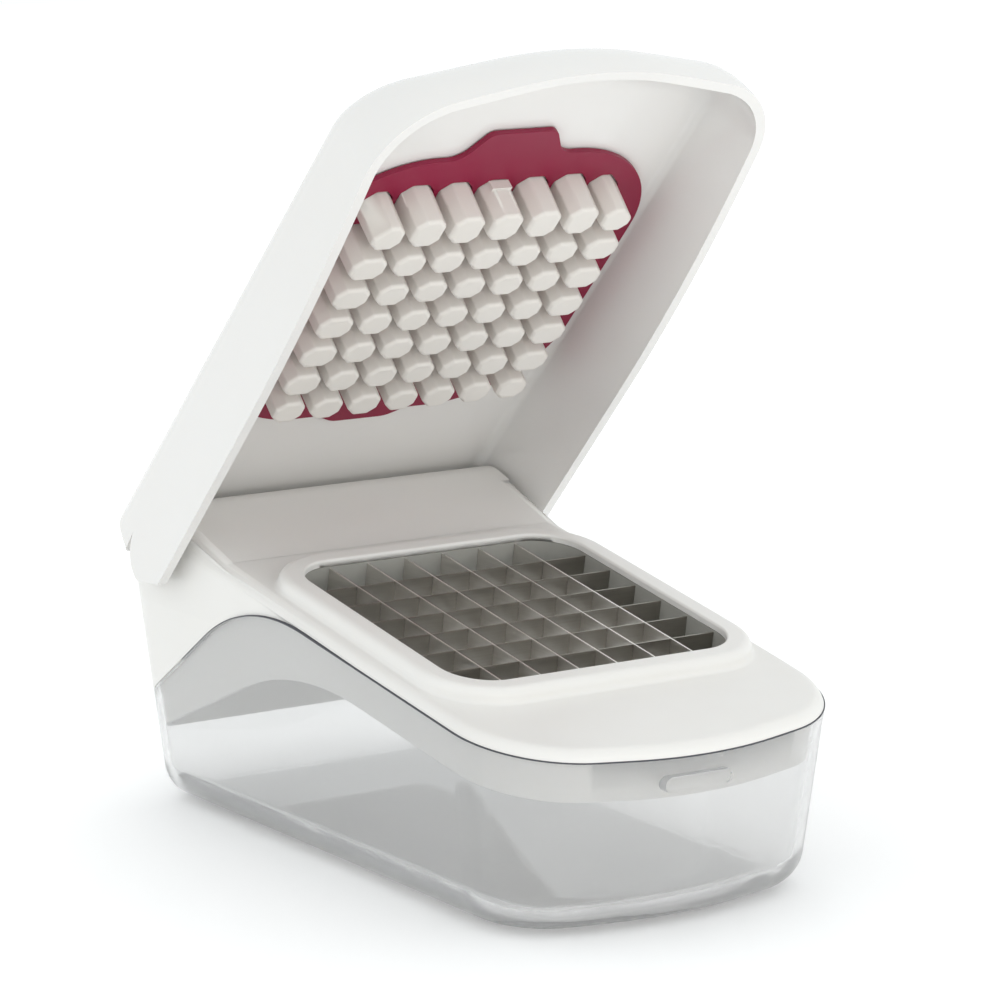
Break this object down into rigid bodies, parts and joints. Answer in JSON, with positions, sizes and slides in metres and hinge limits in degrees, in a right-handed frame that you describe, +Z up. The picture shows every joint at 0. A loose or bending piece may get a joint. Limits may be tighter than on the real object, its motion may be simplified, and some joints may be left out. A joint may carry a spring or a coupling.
{
  "type": "food chopper",
  "caption": "Press-down food chopper: hinged pusher lid over a blade grid on a clear container, lid open.",
  "frame": {"origin": "centre of the container's resting face, on the table", "axes": "+Z up, +Y from the container's middle towards the lid's hinge, -Y towards the front with the grip, +X to the right seen from the front"},
  "size_m": [0.1296, 0.2138, 0.225],
  "materials": {
    "clear_plastic": "gloss",
    "white_plastic": "gloss",
    "grey_plastic": "satin",
    "magenta_plastic": "satin",
    "elastomer": "matte",
    "steel": "satin"
  },
  "bodies": {
    "container": {"base_pad": "elastomer", "container": "clear_plastic"},
    "deck": {"blade_frame": "grey_plastic", "cross_blade_1": "steel", "cross_blade_2": "steel", "cross_blade_3": "steel", "cross_blade_4": "steel", "cross_blade_5": "steel", "cross_blade_6": "steel", "deck_body": "white_plastic", "hinge_pin_left": "steel", "hinge_pin_right": "steel", "long_blade_1": "steel", "long_blade_2": "steel", "long_blade_3": "steel", "long_blade_4": "steel", "long_blade_5": "steel", "long_blade_6": "steel"},
    "lid": {"lid_shell": "white_plastic", "pusher_block": "white_plastic", "stripper_plate": "magenta_plastic"}
  },
  "joints": [
    {"name": "deck_lift", "type": "slide", "parent": "container", "child": "deck", "axis": [0, 0, 1], "range_m": [0, 0.08]},
    {"name": "lid_hinge", "type": "hinge", "parent": "deck", "child": "lid", "pos_m": [0, 0.08357, 0.07605], "axis": [-1, 0, 0], "range_deg": [-56.3, 8]}
  ]
}
